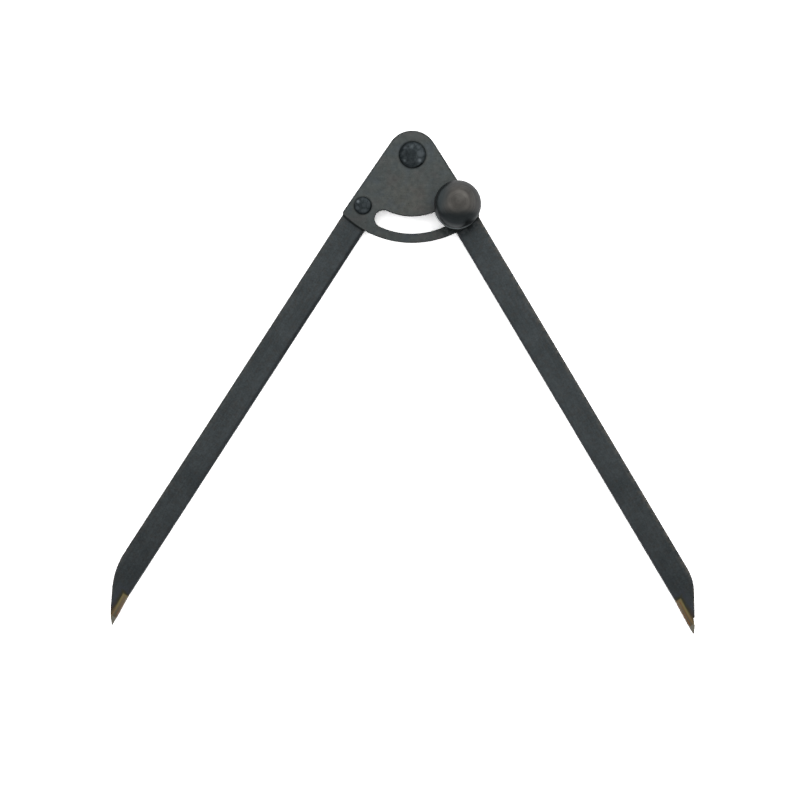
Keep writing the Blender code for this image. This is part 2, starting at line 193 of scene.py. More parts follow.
MOST_BLOOM, MOST_BAR_SIDE_SHADE, MOST_ARC_SHADOW, MOST_LEG_KNOB_SHADOW = 0.3, 0.7, 0.65, 0.6
FLUX_SPREADS = (0.2, 0.7)
DULLNESS = (0.42, 0.5)


def leg_millimetres(tree, place, lean, hand):
    """Object coordinates in a leg's own millimetres: X across from its inner edge, Y from pivot to tip.

    lean is the leg's turn from straight down in degrees, and hand is -1 for the left leg, 1 for the right.
    """
    upright = node(tree, "Mapping", {"Vector": place.outputs["Object"],
                                     "Rotation": (0, 0, -math.radians(lean))})
    return node(tree, "VectorMath", [upright, (hand * 1000, -1000, 1000)], operation="MULTIPLY")


def beyond_carbide(tree, millimetres, length, carbide_length, cant):
    """Millimetres below the carbide's square top, and millimetres beyond its nearer brazed face.

    The brazed side leans in by the cant, so that distance is across, plus the tangent of the cant for each
    millimetre down, less the carbide's thickness. The top's is minus the way down. The larger one counts.
    """
    axes = node(tree, "SeparateXYZ", [millimetres])
    down = node(tree, "Math", [axes.outputs[1], length - carbide_length], operation="SUBTRACT")
    square = node(tree, "Math", [down, math.tan(math.radians(cant)), axes.outputs[0]],
                  operation="MULTIPLY_ADD")
    beside = node(tree, "Math", [square, CARBIDE_THICK_MM], operation="SUBTRACT")
    above = node(tree, "Math", [down, -1.0], operation="MULTIPLY")
    apart = node(tree, "Math", [beside, above], operation="MAXIMUM")
    return down, apart


def box_middle(name):
    """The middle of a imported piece, seen from above."""
    low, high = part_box(name)
    return ((low[0] + high[0]) / 2, (low[1] + high[1]) / 2, 0)


def level_reach(tree, place, centre):
    """Millimetres from an upright line through a centre: the length of the way there, its height left out."""
    away = node(tree, "VectorMath", [place.outputs["Object"], centre], operation="SUBTRACT")
    level_away = node(tree, "VectorMath", [away, (1000, 1000, 0)], operation="MULTIPLY")
    return node(tree, "VectorMath", [level_away], operation="LENGTH")


def ground_bare(tree, shade, down, carbide_length, most):
    """A shade with the last few millimetres before the point ground bare, on leg and carbide alike."""
    starts = carbide_length - GROUND_MM
    ground = node(tree, "MapRange", [down, starts - GROUND_BORDER_MM, starts + GROUND_BORDER_MM, 0.0, most])
    return node(tree, "Mix", [ground, shade, linear(GROUND_STEEL)], data_type="RGBA")


def finish_metal(tree, shade, roughness, height, strength, depth=0.0001, edge_tint=1.0):
    """Ends the nodes of a metal: a bump of this strength and depth, the metal itself and the output."""
    bump = node(tree, "Bump", {"Height": height, "Strength": strength, "Distance": depth})
    metal = node(tree, "BsdfPrincipled", {"Base Color": shade, "Metallic": 1.0, "Roughness": roughness,
                                          "Normal": bump, "Specular Tint": (edge_tint,) * 3 + (1,)})
    node(tree, "OutputMaterial", {"Surface": metal})


def bar_steel(name, lean, hand, length, carbide_length, cant, inner_edge_shade, corner_highlight_and_wear):
    """Hot rolled steel with mill skin: dull grey, faintly clouded, with a brown bloom, and painted darker to
    the tip as shade.

    The last two are how strong the painted shade along the inner edge is, and how strong the painted
    highlight, partly wear, on the outer corner is.
    """
    material, tree = new_material(name)
    place = node(tree, "TexCoord")
    millimetres = leg_millimetres(tree, place, lean, hand)
    leg_axes = node(tree, "SeparateXYZ", [millimetres])
    from_inner_edge, from_pivot = leg_axes.outputs[0], leg_axes.outputs[1]

    # Mill skin, clouded in patches of some 14 mm, with rolling lines along the bar and a grain of 0.8 mm. The
    # real lines and grain are finer and are drawn this coarse so that they show
    cloud = node(tree, "TexNoise", {"Vector": millimetres, "Scale": CLOUDS_PER_MM, "Detail": 3.0})
    clouded = node(tree, "MapRange", [cloud, *CLOUD_SPAN])
    shade = node(tree, "Mix", [clouded, linear(MILL_DARK), linear(MILL_LIGHT)], data_type="RGBA")
    bloom = node(tree, "TexNoise", {"Vector": millimetres, "Scale": BLOOMS_PER_MM, "Detail": 3.0,
                                    "Roughness": 0.6})
    bloomed = node(tree, "MapRange", [bloom, *BLOOM_SPAN, 0.0, MOST_BLOOM])
    shade = node(tree, "Mix", [bloomed, shade, linear(BROWN_BLOOM)], data_type="RGBA")
    drawn_out = node(tree, "VectorMath", [millimetres, BAR_LINES_PER_MM], operation="MULTIPLY")
    lines = node(tree, "TexNoise", {"Vector": drawn_out, "Scale": 1.0, "Detail": 3.0})
    streak = node(tree, "MapRange", [lines, *NOISE_SPAN, *STREAKS])
    grain = node(tree, "TexNoise", {"Vector": millimetres, "Scale": GRAINS_PER_MM, "Detail": 3.0,
                                    "Roughness": 0.75})
    speckle = node(tree, "MapRange", [grain, *NOISE_SPAN, *SPECKLES])
    mottle = node(tree, "MapRange", [bloom, *NOISE_SPAN, *MOTTLES])
    # Painted shade: the leg grows darker towards its tip
    tip_shade = node(tree, "MapRange", [from_pivot, *TIP_SHADE_MM, *TIP_SHADE_RANGE])
    for factor in (streak, speckle, mottle, tip_shade):
        shade = node(tree, "VectorMath", [shade, factor], operation="SCALE")

    # The outer corner, painted lighter here and there as a highlight and partly as wear, is told by how far
    # the surface turns outwards and by how far it lies from the inner edge
    turn = math.radians(lean)
    outwards = (hand * math.cos(turn), hand * math.sin(turn), 0)
    across = node(tree, "VectorMath", [place.outputs["Normal"], outwards], operation="DOT_PRODUCT")
    patch_noise = node(tree, "TexNoise", {"Vector": millimetres, "Scale": WEAR_PER_MM, "Detail": 4.0,
                                       "Roughness": 0.65})
    rubbed = node(tree, "MapRange", [patch_noise, 0.42, 0.6, 0.0, corner_highlight_and_wear])
    corner = node(tree, "MapRange", [across, *CORNER_TURNS])
    near_corner = node(tree, "MapRange", [from_inner_edge, *OUTER_LINE_MM, 0.0, 0.6])
    corner = node(tree, "Math", [corner, near_corner], operation="MAXIMUM")
    lit_corner = node(tree, "Math", [corner, rubbed], operation="MULTIPLY")
    shade = node(tree, "Mix", [lit_corner, shade, linear(CORNER_HIGHLIGHT_AND_WEAR)], data_type="RGBA")

    # A line of painted shade along the inner edge, fading out down the leg, and painted shade on the bar's
    # sides
    lined = node(tree, "MapRange", [from_inner_edge, *INNER_LINE_MM, 1.0, 0.0])
    kept = node(tree, "MapRange", [patch_noise, 0.34, 0.6, 0.5 * inner_edge_shade, inner_edge_shade])
    fading = node(tree, "MapRange", [from_pivot, *INNER_LINE_FADES_MM, 1.0, 0.0])
    for factor in (kept, fading):
        lined = node(tree, "Math", [lined, factor], operation="MULTIPLY")
    sideways = node(tree, "Math", [across], operation="ABSOLUTE")
    side = node(tree, "MapRange", [sideways, *SIDE_TURNS, 0.0, MOST_BAR_SIDE_SHADE])
    dark = node(tree, "Math", [lined, side], operation="MAXIMUM")
    shade = node(tree, "Mix", [dark, shade, linear(PAINTED_SIDE_SHADE)], data_type="RGBA")

    # A painted shadow under the plate and along its lower edge, and a painted shadow of the knob round the
    # clamp, broken up in lumps like grease
    arc_reach = level_reach(tree, place, PLATE_ARC_CENTRE)
    under_plate = node(tree, "MapRange", [arc_reach, *ARC_SHADOW_MM, MOST_ARC_SHADOW, 0.0])
    stud_reach = level_reach(tree, place, box_middle("clamp_stud"))
    knob_shadow_and_grease = node(tree, "MapRange", [stud_reach, *KNOB_SHADOW_MM, MOST_LEG_KNOB_SHADOW, 0.0])
    lumpy = node(tree, "MapRange", [bloom, 0.42, 0.58, 1.4, 0.3])
    knob_shadow_and_grease = node(tree, "Math", [knob_shadow_and_grease, lumpy], operation="MULTIPLY")
    leg_shadow_and_grease = node(tree, "Math", [under_plate, knob_shadow_and_grease], operation="MAXIMUM")
    shade = node(tree, "Mix", [leg_shadow_and_grease, shade, linear(LEG_SHADOW_AND_GREASE)], data_type="RGBA")

    # Round the brazed point: temper blue, then flux, olive at its top and brown lower down where it spreads
    # wider, then a thin wipe of brass. Each has the distances where it ends and where it is full, how strong
    # it is there, and how far its border wanders
    down, apart = beyond_carbide(tree, millimetres, length, carbide_length, cant)
    flame = node(tree, "TexNoise", {"Vector": millimetres, "Scale": FLAMES_PER_MM, "Detail": 2.0})
    wander = node(tree, "MapRange", [flame, *NOISE_SPAN, -1.0, 1.0])
    lower = node(tree, "MapRange", [down, *(share * carbide_length for share in FLUX_SPREADS)])
    spreading = node(tree, "MapRange", [lower, 0.0, 1.0, 1.0, 0.5])
    spread = node(tree, "Math", [apart, spreading], operation="MULTIPLY")
    flux = node(tree, "Mix", [lower, linear(FLUX_OLIVE), linear(FLUX_BROWN)], data_type="RGBA")
    for colour, far, near, most, sway in ((linear(TEMPER_BLUE), 5.5, 2.2, 0.4, 0.9),
                                          (flux, 3.0, 1.0, 0.9, 0.6),
                                          (linear(WIPED_BRASS), 1.0, 0.6, 0.5, 0.1)):
        heat = node(tree, "Math", [wander, sway, spread], operation="MULTIPLY_ADD")
        stain = node(tree, "MapRange", [heat, far, near, 0.0, most], interpolation_type="SMOOTHSTEP")
        shade = node(tree, "Mix", [stain, shade, colour], data_type="RGBA")
    shade = ground_bare(tree, shade, down, carbide_length, most=0.8)

    dullness = node(tree, "MapRange", [cloud, *NOISE_SPAN, *DULLNESS])
    relief = node(tree, "Math", [lines, 0.4, grain], operation="MULTIPLY_ADD")
    finish_metal(tree, shade, roughness=dullness, height=relief, strength=0.2)
    return material


def dress(material, name):
    """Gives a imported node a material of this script."""
    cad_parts[name].material_slots[0].material = material


left_point = (LEFT_LEAN, -1, LEFT_LENGTH_MM, LEFT_CARBIDE_MM, LEFT_CANT)
right_point = (RIGHT_LEAN, 1, RIGHT_LENGTH_MM, RIGHT_CARBIDE_MM, RIGHT_CANT)
dress(bar_steel("mill_skin_left", *left_point, inner_edge_shade=0.75, corner_highlight_and_wear=0.45), "left_leg")
dress(bar_steel("mill_skin_right", *right_point, inner_edge_shade=0.15, corner_highlight_and_wear=0.95), "right_leg")


# The carbide points and their braze.
# Sintered carbide is a brown-grey with a finer grain than steel, and was ground along its length. The braze
# that holds it is brass, run in with a torch and ground flush, so a golden seam shows and some brass is wiped
# over the carbide.

CARBIDE_TOP, CARBIDE_MIDDLE, CARBIDE_END = "6f6753", "5a5649", "4a4c46"
GRINDING_BROWN, SCORCHED_PINK, SEAM_GOLD = "70491f", "8a6857", "786f52"
BRASS_GOLD, BRASS_PINK = "776e48", "775f49"
BARE_EDGE_MM, SEAM_MM = (-2.2, -1.2), (-0.8, -0.3)
GRINDING_LINES_PER_MM = (1.5, 0.12, 1.5)
SCORCHES_PER_MM, BRASS_STAINS_PER_MM = 0.3, 0.22


def ground_carbide(name, lean, hand, length, carbide_length, cant, brown):
    """Ground carbide: brassy at its top, grey at the tip, scorched at its bare edge and gold along its seam.

    Grinding lines run along it, drawn 0.7 mm apart so that they show, and brown is how brown they are.
    """
    material, tree = new_material(name)
    place = node(tree, "TexCoord")
    millimetres = leg_millimetres(tree, place, lean, hand)
    down, apart = beyond_carbide(tree, millimetres, length, carbide_length, cant)
    share = node(tree, "MapRange", [down, 0.0, carbide_length])
    shade = node(tree, "ValToRGB", {"Fac": share})
    stops = shade.color_ramp.elements
    stops[0].color = linear(CARBIDE_TOP)
    stops[1].color = linear(CARBIDE_END)
    stops.new(0.55).color = linear(CARBIDE_MIDDLE)

    patches = node(tree, "TexNoise", {"Vector": millimetres, "Scale": SCORCHES_PER_MM, "Detail": 3.0})
    scorched = node(tree, "MapRange", [patches, 0.42, 0.6, 0.1, 0.8])
    bare_edge = node(tree, "MapRange", [apart, *BARE_EDGE_MM, 1.0, 0.0])
    fading = node(tree, "MapRange", [share, 0.45, 0.8, 1.0, 0.2])
    for factor in (bare_edge, fading):
        scorched = node(tree, "Math", [scorched, factor], operation="MULTIPLY")
    shade = node(tree, "Mix", [scorched, shade, linear(SCORCHED_PINK)], data_type="RGBA")

    along = node(tree, "VectorMath", [millimetres, GRINDING_LINES_PER_MM], operation="MULTIPLY")
    lines = node(tree, "TexNoise", {"Vector": along, "Scale": 1.0, "Detail": 3.0})
    lined = node(tree, "MapRange", [lines, 0.46, 0.56, 0.0, brown])
    shade = node(tree, "Mix", [lined, shade, linear(GRINDING_BROWN)], data_type="RGBA")
    wiped = node(tree, "MapRange", [apart, *SEAM_MM, 0.0, 0.8])
    seam = node(tree, "Math", [wiped, fading], operation="MULTIPLY")
    shade = node(tree, "Mix", [seam, shade, linear(SEAM_GOLD)], data_type="RGBA")
    shade = ground_bare(tree, shade, down, carbide_length, most=0.7)
    finish_metal(tree, shade, roughness=0.38, height=lines, strength=0.3, depth=0.00005)
    return material


def brazing_brass():
    """Ground brazing brass: gold, and pinkish where the flame has driven the zinc out."""
    material, tree = new_material("brazing_brass")
    place = node(tree, "TexCoord")
    millimetres = node(tree, "VectorMath", [place.outputs["Object"], (1000,) * 3], operation="MULTIPLY")
    stain = node(tree, "TexNoise", {"Vector": millimetres, "Scale": BRASS_STAINS_PER_MM, "Detail": 3.0})
    pink = node(tree, "MapRange", [stain, 0.45, 0.58])
    shade = node(tree, "Mix", [pink, linear(BRASS_GOLD), linear(BRASS_PINK)], data_type="RGBA")
    finish_metal(tree, shade, roughness=0.4, height=stain, strength=0.3)
    return material


dress(ground_carbide("ground_carbide_left", *left_point, brown=0.3), "left_carbide")
dress(ground_carbide("ground_carbide_right", *right_point, brown=0.75), "right_carbide")
brass = brazing_brass()
dress(brass, "left_braze")
dress(brass, "right_braze")


# The head plate.
# It is cut from cold rolled sheet, so it is lighter and warmer than the bars, with faint rolling lines from
# side to side and small nicks. Its sawn edges and a broken line along both flanks are painted dark as shade,
# and painted shade and shadow lie round the rivets and the clamp.

PLATE_COOL, PLATE_MIDDLE, PLATE_WARM = "4f5354", "525553", "565654"
PAINTED_EDGE_SHADE, FLANK_SHADE_AND_NICKS, PLATE_SHADE_AND_GREASE = "1f2223", "2a2c2b", "1d2122"
HEAD_RADIUS_MM = 13.7
FLANK_TURNS = (145.5, 32.3)
FLANK_LINE_MM = (HEAD_RADIUS_MM - 1.1, HEAD_RADIUS_MM - 0.3)
BAND_MM = (38.0, 42.0)
RUBBED_PLACE, RUBBED_MM = (-0.003, -0.024, 0), (5.1, 17.0)
COOL_TINT, RUBBED_TINT = (0.92, 0.96, 0.99, 1), (1.03, 1.01, 0.99, 1)
HEAD_SPREAD = {"pivot_rivet": (0.0002, 0.00065), "plate_rivet": (-0.0004, -0.0004)}
ROLLING_LINES_PER_MM = (0.06, 1.6, 1.0)
SHEET_CLOUDS_PER_MM, SHEET_GRAINS_PER_MM, MOTTLES_PER_MM = 0.13, 1.5, 0.42
BREAKS_PER_MM, NICKS_PER_MM, NICK_SPAN = 0.55, 1.1, (0.68, 0.74)
SHEET_STREAKS, SHEET_SPECKLES, SHEET_MOTTLES = (0.96, 1.04), (0.89, 1.11), (0.87, 1.13)
BAND_SHADE, MOST_PLATE_KNOB_SHADOW = 0.87, 0.55


def head_middle(name):
    """The middle of a rivet's head, which the hammer has spread a little to one side of its shank."""
    across, along = box_middle(name)[:2]
    return (across + HEAD_SPREAD[name][0], along + HEAD_SPREAD[name][1], 0)


def rolled_sheet():
    """Cold rolled sheet: satin grey, rolling lines and nicks, with painted shade on its sawn edges, along its
    flanks and round what stands on it.

    How far out a place lies is the larger of its reaches along the two flanks' normals, and over the top,
    between the two normals, its distance from the pivot. At the rim it is the head's radius.
    """
    material, tree = new_material("cold_rolled_sheet")
    place = node(tree, "TexCoord")
    millimetres = node(tree, "VectorMath", [place.outputs["Object"], (1000,) * 3], operation="MULTIPLY")
    cloud = node(tree, "TexNoise", {"Vector": millimetres, "Scale": SHEET_CLOUDS_PER_MM, "Detail": 5.0,
                                    "Roughness": 0.6})
    shade = node(tree, "ValToRGB", {"Fac": cloud})
    stops = shade.color_ramp.elements
    stops[0].position, stops[1].position = CLOUD_SPAN
    stops[0].color, stops[1].color = linear(PLATE_COOL), linear(PLATE_WARM)
    stops.new(0.5).color = linear(PLATE_MIDDLE)

    # Rolling lines from side to side and a fine grain, drawn 0.6 mm apart so that they show, and mottling
    rolled = node(tree, "VectorMath", [millimetres, ROLLING_LINES_PER_MM], operation="MULTIPLY")
    lines = node(tree, "TexNoise", {"Vector": rolled, "Scale": 1.0, "Detail": 3.0})
    streak = node(tree, "MapRange", [lines, *NOISE_SPAN, *SHEET_STREAKS])
    grain = node(tree, "TexNoise", {"Vector": millimetres, "Scale": SHEET_GRAINS_PER_MM, "Detail": 3.0,
                                    "Roughness": 0.7})
    speckle = node(tree, "MapRange", [grain, *NOISE_SPAN, *SHEET_SPECKLES])
    mottling = node(tree, "TexNoise", {"Vector": millimetres, "Scale": MOTTLES_PER_MM, "Detail": 3.0})
    mottle = node(tree, "MapRange", [mottling, *NOISE_SPAN, *SHEET_MOTTLES])
    for factor in (streak, speckle, mottle):
        shade = node(tree, "VectorMath", [shade, factor], operation="SCALE")

    # Hands have rubbed its middle a little lighter and warmer, and the band below the slot is a little darker
    rubbed = node(tree, "MapRange", [level_reach(tree, place, RUBBED_PLACE), *RUBBED_MM, 1.0, 0.0])
    tint = node(tree, "Mix", [rubbed, COOL_TINT, RUBBED_TINT], data_type="RGBA")
    shade = node(tree, "VectorMath", [shade, tint], operation="MULTIPLY")
    from_pivot = level_reach(tree, place, (0, 0, 0))
    band = node(tree, "MapRange", [from_pivot, *BAND_MM, 1.0, BAND_SHADE])
    shade = node(tree, "VectorMath", [shade, band], operation="SCALE")

    # The line of painted shade along the flanks and over the top
    normals = [(math.cos(math.radians(turn)), math.sin(math.radians(turn)), 0) for turn in FLANK_TURNS]
    reaches = [node(tree, "VectorMath", [millimetres, normal], operation="DOT_PRODUCT") for normal in normals]
    flank_reach = node(tree, "Math", reaches, operation="MAXIMUM")
    axes = node(tree, "SeparateXYZ", [millimetres])
    slopes = [node(tree, "Math", [axes.outputs[0], math.tan(math.radians(turn))], operation="MULTIPLY")
              for turn in FLANK_TURNS]
    top_starts = node(tree, "Math", slopes, operation="MAXIMUM")
    over_top = node(tree, "Math", [axes.outputs[1], top_starts], operation="GREATER_THAN")
    rim_reach = node(tree, "Mix", [over_top, flank_reach, from_pivot])
    near_rim = node(tree, "MapRange", [rim_reach, *FLANK_LINE_MM])
    broken = node(tree, "TexNoise", {"Vector": millimetres, "Scale": BREAKS_PER_MM, "Detail": 4.0})
    kept = node(tree, "MapRange", [broken, 0.42, 0.6, 0.1, 0.8])
    flank_shade = node(tree, "Math", [near_rim, kept], operation="MULTIPLY")
    shade = node(tree, "Mix", [flank_shade, shade, linear(FLANK_SHADE_AND_NICKS)], data_type="RGBA")

    nicks = node(tree, "TexNoise", {"Vector": millimetres, "Scale": NICKS_PER_MM, "Detail": 2.0})
    nicked = node(tree, "MapRange", [nicks, *NICK_SPAN, 0.0, 0.5])
    shade = node(tree, "Mix", [nicked, shade, linear(FLANK_SHADE_AND_NICKS)], data_type="RGBA")

    # Painted shade round the rivets' heads, thickest at their rims, and a painted shadow of the knob, broken
    # up in lumps like grease, round the clamp on the narrow band below the slot
    for name, ring_mm, most in (("pivot_rivet", (7.4, 8.2), 0.45), ("plate_rivet", (4.8, 5.6), 0.4)):
        head_reach = level_reach(tree, place, head_middle(name))
        rivet_ring_shade = node(tree, "MapRange", [head_reach, *ring_mm, most, 0.0])
        shade = node(tree, "Mix", [rivet_ring_shade, shade, linear(PLATE_SHADE_AND_GREASE)], data_type="RGBA")
    stud_reach = level_reach(tree, place, box_middle("clamp_stud"))
    painted_shade_patch = node(tree, "MapRange", [stud_reach, *KNOB_SHADOW_MM, MOST_PLATE_KNOB_SHADOW, 0.0])
    below_slot = node(tree, "MapRange", [from_pivot, *BAND_MM])
    lumpy = node(tree, "MapRange", [broken, 0.42, 0.56, 0.2, 1.6])
    for factor in (below_slot, lumpy):
        painted_shade_patch = node(tree, "Math", [painted_shade_patch, factor], operation="MULTIPLY")
    shade = node(tree, "Mix", [painted_shade_patch, shade, linear(PLATE_SHADE_AND_GREASE)], data_type="RGBA")

    # The sawn edges, the faces that stand up, are painted dark as shade
    facing = node(tree, "SeparateXYZ", [place.outputs["Normal"]])
    level_face = node(tree, "Math", [facing.outputs[2]], operation="ABSOLUTE")
    edge_shade = node(tree, "MapRange", [level_face, 0.95, 0.5, 0.0, 0.9])
    shade = node(tree, "Mix", [edge_shade, shade, linear(PAINTED_EDGE_SHADE)], data_type="RGBA")

    dullness = node(tree, "MapRange", [cloud, *NOISE_SPAN, *DULLNESS])
    relief = node(tree, "Math", [lines, 0.5, grain], operation="MULTIPLY_ADD")
    finish_metal(tree, shade, roughness=dullness, height=relief, strength=0.18)
    return material


dress(rolled_sheet(), "head_plate")


# The two rivets.
# Soft steel pins whose heads were set with a ball-peen hammer, and spread a little to one side. Each blow
# left a facet, painted lighter or darker as light falls on it, with painted shade in the creases between them
# and in the steep rim, and painted glints. The feet are flared and flush.

RIVET_COLUMNS, DOME_ROWS, EDGE_ROWS = 160, 44, 12
DOME_SHARES, EDGE_SHARES = (0.02, 0.9), (0.915, 1.0)
RIVET_RIM = 0.0005
FLARE_DEPTH, FOOT_CHAMFER = 0.0015, (0.0002, 0.00005)
BLEND = 0.00005
ROLL_STARTS, ROLL_DROP = 0.88, 0.0005
RIM_STARTS, RIM_COVERS = 0.77, 0.87
RIM_DARKER, RIM_SHADE_TO_ONE_SIDE, CREASE_DARKER = 0.5, 0.3, 0.55
DOME_TONE, SIDE_TONE = 0.18, 0.3
RIVET_DARK, RIVET_LIGHT = "1d2325", "6c7377"
RIVET_CLOUDS_PER_MM = 0.55
SHARP_ANGLE = 35.0


def skin(name, points, ring=False, shades=None):
    """Skins a grid of points, given as (rows, columns, xyz), whose columns wrap round.

    The rows of a ring wrap too. Otherwise the first and the last row each close in one pole, at their mean.
    shades, one for each point, become a float attribute that holds the rivets' painted facet shading, shaded
    rim and painted glints.
    """
    rows, columns = points.shape[:2]
    index = np.arange(rows * columns).reshape(rows, columns)
    upper = index if ring else index[:-1]
    lower = np.roll(index, -1, axis=0) if ring else index[1:]
    beside = [np.roll(row, -1, axis=1) for row in (upper, lower)]
    faces = np.stack([upper, lower, beside[1], beside[0]], axis=-1).reshape(-1, 4).tolist()
    corners = points.reshape(-1, 3)
    if not ring:
        first, last = index[0], index[-1]
        top, bottom = len(corners), len(corners) + 1
        corners = np.vstack([corners, points[0].mean(axis=0), points[-1].mean(axis=0)])
        faces += np.stack([np.full(columns, top), first, np.roll(first, -1)], axis=-1).tolist()
        faces += np.stack([np.full(columns, bottom), np.roll(last, -1), last], axis=-1).tolist()
    mesh = bpy.data.meshes.new(name)
    mesh.from_pydata(corners.tolist(), [], faces)
    mesh.shade_smooth()
    mesh.set_sharp_from_angle(angle=math.radians(SHARP_ANGLE))
    if shades is not None:
        ends = [shades[0].mean(), shades[-1].mean()]
        patina_and_shading = mesh.attributes.new("patina_and_shading", "FLOAT", "POINT")
        patina_and_shading.data.foreach_set("value", np.append(shades.ravel(), ends).astype(np.float32))
    made = bpy.data.objects.new(name, mesh)
    bpy.context.scene.collection.objects.link(made)
    return made


def turned(radii, heights, columns, centre):
    """Points of a profile turned about an upright axis: radius times the cosine and sine of the angle."""
    angle = np.linspace(0, 2 * np.pi, columns, endpoint=False)[None, :]
    radius, height = np.asarray(radii)[:, None], np.asarray(heights)[:, None]
    across = centre[0] + radius * np.cos(angle)
    along = centre[1] + radius * np.sin(angle)
    return np.stack([across, along, height + 0 * angle], axis=-1)


def on_head(reach, way):
    """X and Y of a mark on a head: its reach times the cosine and the sine of its direction in degrees."""
    return reach * math.cos(math.radians(way)), reach * math.sin(math.radians(way))


def peened_rivet(name, shank, flare, crown, shaded_side, blows, painted_glints):
    """A rivet whose head is a low sphere, cut by one plane for each blow of the hammer.

    A blow is how far out it fell as a share of the head, its direction in degrees, how deep it went in
    millimetres, and how light its facet is painted, as light falls on it. Its plane is tangent to the sphere
    there and that much lower. The head's height is the smooth minimum of the sphere and the planes, and its
    edge rolls down. The shading is the painted lightness of the lowest plane, with painted shade where the
    next one is as low, which is a crease, and in the outer fifth, which is the rim, most of all on its shaded
    side. A glint is a painted highlight: its place like a blow's, its size as a share of the head, and its
    lightness.
    """
    low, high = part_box(name)
    centre, head_centre = box_middle(name), head_middle(name)
    head = (high[0] - low[0]) / 2
    seat = high[2] - crown
    dome = crown - RIVET_RIM
    sphere = (head**2 + dome**2) / (2 * dome)
    share = np.concatenate([np.linspace(*DOME_SHARES, DOME_ROWS), np.linspace(*EDGE_SHARES, EDGE_ROWS)])
    share = share[:, None]
    angle = np.linspace(0, 2 * np.pi, RIVET_COLUMNS, endpoint=False)[None, :]
    radius = head * share
    x, y = radius * np.cos(angle), radius * np.sin(angle)
    surfaces, facet_shading = [np.sqrt(sphere**2 - radius**2) - sphere + 0 * angle], [DOME_TONE]
    for reach_share, way, depth, light in blows:
        reach = head * reach_share
        blow_x, blow_y = on_head(reach, way)
        drop = math.sqrt(sphere**2 - reach**2)
        slope = ((x - blow_x) * blow_x + (y - blow_y) * blow_y) / drop
        surfaces.append(drop - sphere - depth / 1000 - slope)
        facet_shading.append(light)
    stack = np.stack(surfaces)
    ordered = np.sort(stack, axis=0)
    weight = np.exp(-(stack - ordered[0]) / BLEND)
    top = ordered[0] - BLEND * np.log(weight.sum(axis=0))
    tone = (weight * np.array(facet_shading)[:, None, None]).sum(axis=0) / weight.sum(axis=0)
    crease = np.exp(-(ordered[1] - ordered[0]) / BLEND)
    patina_and_shading = tone * (1 - CREASE_DARKER * crease)
    for reach_share, way, size, light in painted_glints:
        glint_x, glint_y = on_head(head * reach_share, way)
        spot = np.exp(-((x - glint_x) ** 2 + (y - glint_y) ** 2) / (head * size) ** 2)
        patina_and_shading = patina_and_shading + (light - patina_and_shading) * spot
    rim = np.clip((share - RIM_STARTS) / (RIM_COVERS - RIM_STARTS), 0, 1)
    patina_and_shading = patina_and_shading * (1 - rim * (RIM_DARKER + RIM_SHADE_TO_ONE_SIDE * np.cos(angle - math.radians(shaded_side))))
    roll = ROLL_DROP * np.clip((share - ROLL_STARTS) / (1 - ROLL_STARTS), 0, 1) ** 2
    rows = np.stack([head_centre[0] + x, head_centre[1] + y, high[2] + top - roll], axis=-1)
    rim_height = float(rows[-1, :, 2].min())
    side = turned([head, head], [(seat + rim_height) / 2, seat], RIVET_COLUMNS, head_centre)
    radii = [shank / 2, shank / 2, flare / 2, flare / 2 - FOOT_CHAMFER[0]]
    heights = [seat, FLARE_DEPTH, low[2] + FOOT_CHAMFER[1], low[2]]
    below = turned(radii, heights, RIVET_COLUMNS, centre)
    shades = np.concatenate([patina_and_shading, np.full((len(side) + len(below), RIVET_COLUMNS), SIDE_TONE)])
    return skin(name + "_peened", np.concatenate([rows, side, below]), shades=shades)


def peened_steel():
    """Hammered soft steel gone dark: its shade follows the rivet's painted shading, from black in the shaded
    creases and rim to grey on facets painted lit, lightest at painted glints.
    """
    material, tree = new_material("peened_steel")
    place = node(tree, "TexCoord")
    millimetres = node(tree, "VectorMath", [place.outputs["Object"], (1000,) * 3], operation="MULTIPLY")
    patina_and_shading = node(tree, "Attribute", attribute_name="patina_and_shading")
    cloud = node(tree, "TexNoise", {"Vector": millimetres, "Scale": RIVET_CLOUDS_PER_MM, "Detail": 4.0,
                                    "Roughness": 0.6})
    wander = node(tree, "MapRange", [cloud, *NOISE_SPAN, -0.1, 0.1])
    share = node(tree, "Math", [patina_and_shading.outputs["Fac"], wander], operation="ADD")
    shade = node(tree, "Mix", [share, linear(RIVET_DARK), linear(RIVET_LIGHT)], data_type="RGBA")
    finish_metal(tree, shade, roughness=0.34, height=cloud, strength=0.2)
    return material


PIVOT_BLOWS = ((0.1, 195, 0.2, 0.11), (0.6, 5, 0.16, 0.33), (0.62, 172, 0.1, 0.22), (0.6, 262, 0.11, 0.2),
               (0.6, 97, 0.1, 0.24), (0.66, 50, 0.06, 0.3), (0.7, 222, 0.05, 0.2), (0.68, 318, 0.06, 0.4))
PIVOT_PAINTED_GLINTS = ((0.7, 320, 0.13, 0.95), (0.76, 218, 0.1, 0.6), (0.56, 97, 0.12, 0.42),
                (0.75, 139, 0.13, 0.45))
PLATE_RIVET_BLOWS = ((0.15, 350, 0.12, 0.24), (0.6, 140, 0.09, 0.36), (0.6, 60, 0.07, 0.2),
                     (0.62, 350, 0.08, 0.24), (0.62, 275, 0.1, 0.36), (0.66, 205, 0.09, 0.33))
PLATE_RIVET_PAINTED_GLINTS = ((0.7, 142, 0.13, 1.4), (0.38, 295, 0.1, 0.03), (0.62, 290, 0.16, 0.36))
pivot_rivet = peened_rivet("pivot_rivet", shank=0.008, flare=0.0112, crown=0.0021, shaded_side=165,
                           blows=PIVOT_BLOWS, painted_glints=PIVOT_PAINTED_GLINTS)
